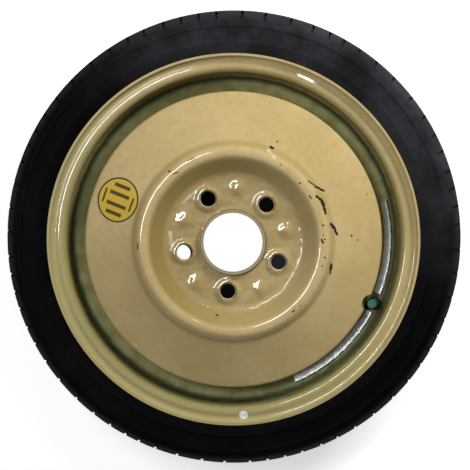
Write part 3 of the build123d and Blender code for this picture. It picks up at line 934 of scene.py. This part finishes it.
# The weights are darker toward the top.
darkening = soft_step(tree, toward(tree, place, UPWARD), *ZINC_TOP_DARK_Y, 0.0, 0.8)
colour = blend_colour(tree, darkening, colour, ZINC_TOP_DARK)
tree.links.new(colour, shader.inputs["Base Color"])
bump(tree, shader, noise(tree, place, 400, 3), 0.2, 0.3 * MM)
dress(zinc, "balance_weight_lower", "balance_weight_upper")

foam, tree, shader, place = new_material("foam_tape", (0.05, 0.05, 0.05), 0.9)
bump(tree, shader, noise(tree, place, 1500, 2), 0.4, 0.2 * MM)
dress(foam, "balance_tape_lower", "balance_tape_upper")

# %% Valve: rubber, brass, seals, spring and cap
valve_black, tree, shader, place = new_material("valve_rubber", (0.012, 0.012, 0.012), 0.55)
bump(tree, shader, noise(tree, place, 1800, 2), 0.15, 0.1 * MM)
dress(valve_black, "valve_body")

brass, tree, shader, place = new_material("valve_brass", (0.62, 0.46, 0.18), 0.32, 1.0)
bump(tree, shader, noise(tree, place, 2500, 2), 0.1, 0.05 * MM)
dress(brass, "valve_stem", "valve_core_plug", "valve_core_pin")

seal_black, tree, shader, place = new_material("seal_rubber", (0.015, 0.015, 0.015), 0.6)
dress(seal_black, "valve_core_gasket", "valve_core_seal", "valve_cap_seal")

wire, tree, shader, place = new_material("spring_wire", (0.45, 0.45, 0.45), 0.3, 1.0)
dress(wire, "valve_core_spring")

green, tree, shader, place = new_material("cap_plastic", (0.004, 0.078, 0.046), 0.4)
shader.inputs["Specular IOR Level"].default_value = 0.25
bump(tree, shader, noise(tree, place, 1600, 2), 0.15, 0.1 * MM)
dress(green, "valve_cap")

# %% Weld between disc and rim
bead, tree, shader, place = new_material("weld_paint", (0.33, 0.25, 0.11), 0.5)
bump(tree, shader, noise(tree, place, 220, 2), 0.6, 1.0 * MM)
dress(bead, "weld_runs")

# %% [markdown]
# ## Round label
#
# The label is a yellow film stuck on the cone, with a black ring at its edge and plain black bars. Ring and bars are
# worked out in the label's own plane, from the distance to its centre and the distances down the slope and across it,
# so their edges stay sharp at any size.

# %% Round label: a yellow field, a black ring and plain bars
LABEL_YELLOW = (0.56, 0.375, 0.045)
LABEL_INK = (0.03, 0.025, 0.015, 1)
LABEL_RING_IN = 23.4 * MM
RING_SOFT = 0.15 * MM
BAR_SOFT = 0.2 * MM
LABEL_BARS = [
    ((0, -15.5), (10.0, 2.0)),
    ((0, -6.0), (12.5, 2.0)),
    ((0, 6.0), (12.5, 2.0)),
    ((0, 15.5), (10.0, 2.0)),
    ((-17.5, 0), (1.2, 8.0)),
    ((17.5, 0), (1.2, 8.0)),
]

film, tree, shader, place = new_material("label_film", LABEL_YELLOW, 0.55)
shader.inputs["Specular IOR Level"].default_value = 0.08
label_low, label_high = (Vector(corner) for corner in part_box("round_label"))
label_centre = (label_low + label_high) / 2
label_angle = degrees(atan2(label_centre.y, label_centre.x))
down_slope = round_place(cos(radians(CONE_SLOPE)), label_angle, -sin(radians(CONE_SLOPE)))
from_centre = vectors(tree, "SUBTRACT", place, tuple(label_centre))
spread = vectors(tree, "LENGTH", from_centre, output=1)
along = toward(tree, from_centre, tuple(down_slope))
across = toward(tree, from_centre, tuple(round_place(1, label_angle + 90)))
ink = soft_step(tree, spread, LABEL_RING_IN - RING_SOFT, LABEL_RING_IN + RING_SOFT)


def past_bar(distance, middle, half):
    """How far a distance runs past a bar's half width or half length, in mm from its middle."""
    off = maths(tree, "ABSOLUTE", maths(tree, "SUBTRACT", distance, middle * MM))
    return maths(tree, "SUBTRACT", off, half * MM)


for (out, side), (half_out, half_side) in LABEL_BARS:
    past = maths(tree, "MAXIMUM", past_bar(along, out, half_out), past_bar(across, side, half_side))
    ink = maths(tree, "MAXIMUM", ink, soft_step(tree, past, BAR_SOFT, -BAR_SOFT, 0.0, 0.9))
colour = blend_colour(tree, ink, (*LABEL_YELLOW, 1), LABEL_INK)
tree.links.new(colour, shader.inputs["Base Color"])
dress(film, "round_label")

# %% [markdown]
# ## Stage and light
#
# A pale floor lies under the tyre. It glows a little for the camera, so that it reads as white paper. Under the
# disc it is painted dark, a painted shade, so the bolt holes look dark, except below the bore and one bolt hole, where
# glowing spots of painted light show it white.
# A large lamp stands low beyond the wheel's upper right, like a window behind a curtain: it lights the paint but
# isn't mirrored in it. A panel to the upper left does the same. Two strips beside it do the opposite: they are only
# mirrored, and draw the thin bright lines on the flange, the ridge and the lumps. A small lamp at the upper right
# gives the few sparks at the lower left.

# %% Stage
FLOOR_SIZE = 8.0
FLOOR_GLOW = 0.55
FLOOR_PAPER = (0.85, 0.85, 0.85)
FLOOR_SHADE_PAINT = (0.02, 0.02, 0.02, 1)
FLOOR_SHADE_R = (0.15, 0.22)
SPOT_SOFT = 0.5
GLOW_SPOTS = [((-2.4, -11.8), 41.0), ((-63.4, -24.7), 10.0)]

floor_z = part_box("tyre")[0][2]
bpy.ops.object.select_all(action="DESELECT")
bpy.ops.mesh.primitive_plane_add(size=FLOOR_SIZE, location=(0, 0, floor_z))
floor = bpy.context.object
floor.name = "floor"
paper, tree, shader, place = new_material("floor_paper", FLOOR_PAPER, 0.9)
path = tree.nodes.new("ShaderNodeLightPath")
seen = maths(tree, "MAXIMUM", path.outputs["Is Camera Ray"], path.outputs["Is Glossy Ray"])
seen = maths(tree, "MAXIMUM", seen, path.outputs["Is Transmission Ray"])
# Painted shade: the floor is dark under the disc, and does not glow there.
outside = soft_step(tree, radius_of(tree, place), *FLOOR_SHADE_R)
tree.links.new(blend_colour(tree, outside, FLOOR_SHADE_PAINT, (*FLOOR_PAPER, 1)), shader.inputs["Base Color"])
glow = times(tree, outside, FLOOR_GLOW)
# Painted light: spots that glow white below the bore and one bolt hole.
for (x, y), spot_r in GLOW_SPOTS:
    gap = vectors(tree, "DISTANCE", place, (x * MM, y * MM, 0), output=1)
    spot = soft_step(tree, gap, (spot_r + SPOT_SOFT) * MM, (spot_r - SPOT_SOFT) * MM)
    glow = maths(tree, "MAXIMUM", glow, spot)
shader.inputs["Emission Color"].default_value = (1, 1, 1, 1)
tree.links.new(times(tree, seen, glow), shader.inputs["Emission Strength"])
floor.data.materials.append(paper)
print("floor at", round(floor_z / MM, 2), "mm")

# %% Light: lamps
STRIP_OUT = 1.01
STRIP_UP = 1.9
STRIP_TILT = 28
STRIP_AZIMUTHS = {"strip_top": 128, "strip_left": 168}


def soft_lamp(name, location, turn, size, power):
    """A flat lamp of some width and height, turned by angles in degrees from facing down."""
    data = bpy.data.lights.new(name, "AREA")
    data.shape = "RECTANGLE"
    data.size, data.size_y = size
    data.energy = power
    lamp = bpy.data.objects.new(name, data)
    bpy.context.collection.objects.link(lamp)
    lamp.location = location
    lamp.rotation_euler = [radians(angle) for angle in turn]
    print("lamp", name, power, "W")
    return lamp


window = soft_lamp("window", location=(1.2, 1.38, 0.81), turn=(66, 0, 139), size=(0.7, 0.7), power=38)
panel = soft_lamp("panel", location=(-0.77, 0.65, 1.9), turn=(28, 0, 230), size=(0.9, 0.5), power=20)
for lamp in (window, panel):
    lamp.visible_glossy = False
for strip_name, azimuth in STRIP_AZIMUTHS.items():
    strip_place = round_place(STRIP_OUT, azimuth, STRIP_UP)
    strip = soft_lamp(strip_name, strip_place, turn=(STRIP_TILT, 0, azimuth + 90), size=(0.72, 0.24), power=24)
    strip.visible_diffuse = False
soft_lamp("spark", location=(0.50, 1.03, 1.64), turn=(35, 0, 154), size=(0.12, 0.12), power=1.3)

# %% Light: the room
ROOM_COLOUR = (0.9, 0.95, 1.0, 1)
ROOM_STRENGTH = 0.2

world = bpy.data.worlds.new("studio")
world.use_nodes = True
room = world.node_tree.nodes["Background"]
room.inputs["Color"].default_value = ROOM_COLOUR
room.inputs["Strength"].default_value = ROOM_STRENGTH
bpy.context.scene.world = world
bpy.context.scene.view_settings.view_transform = "Standard"
print("room light", ROOM_STRENGTH)
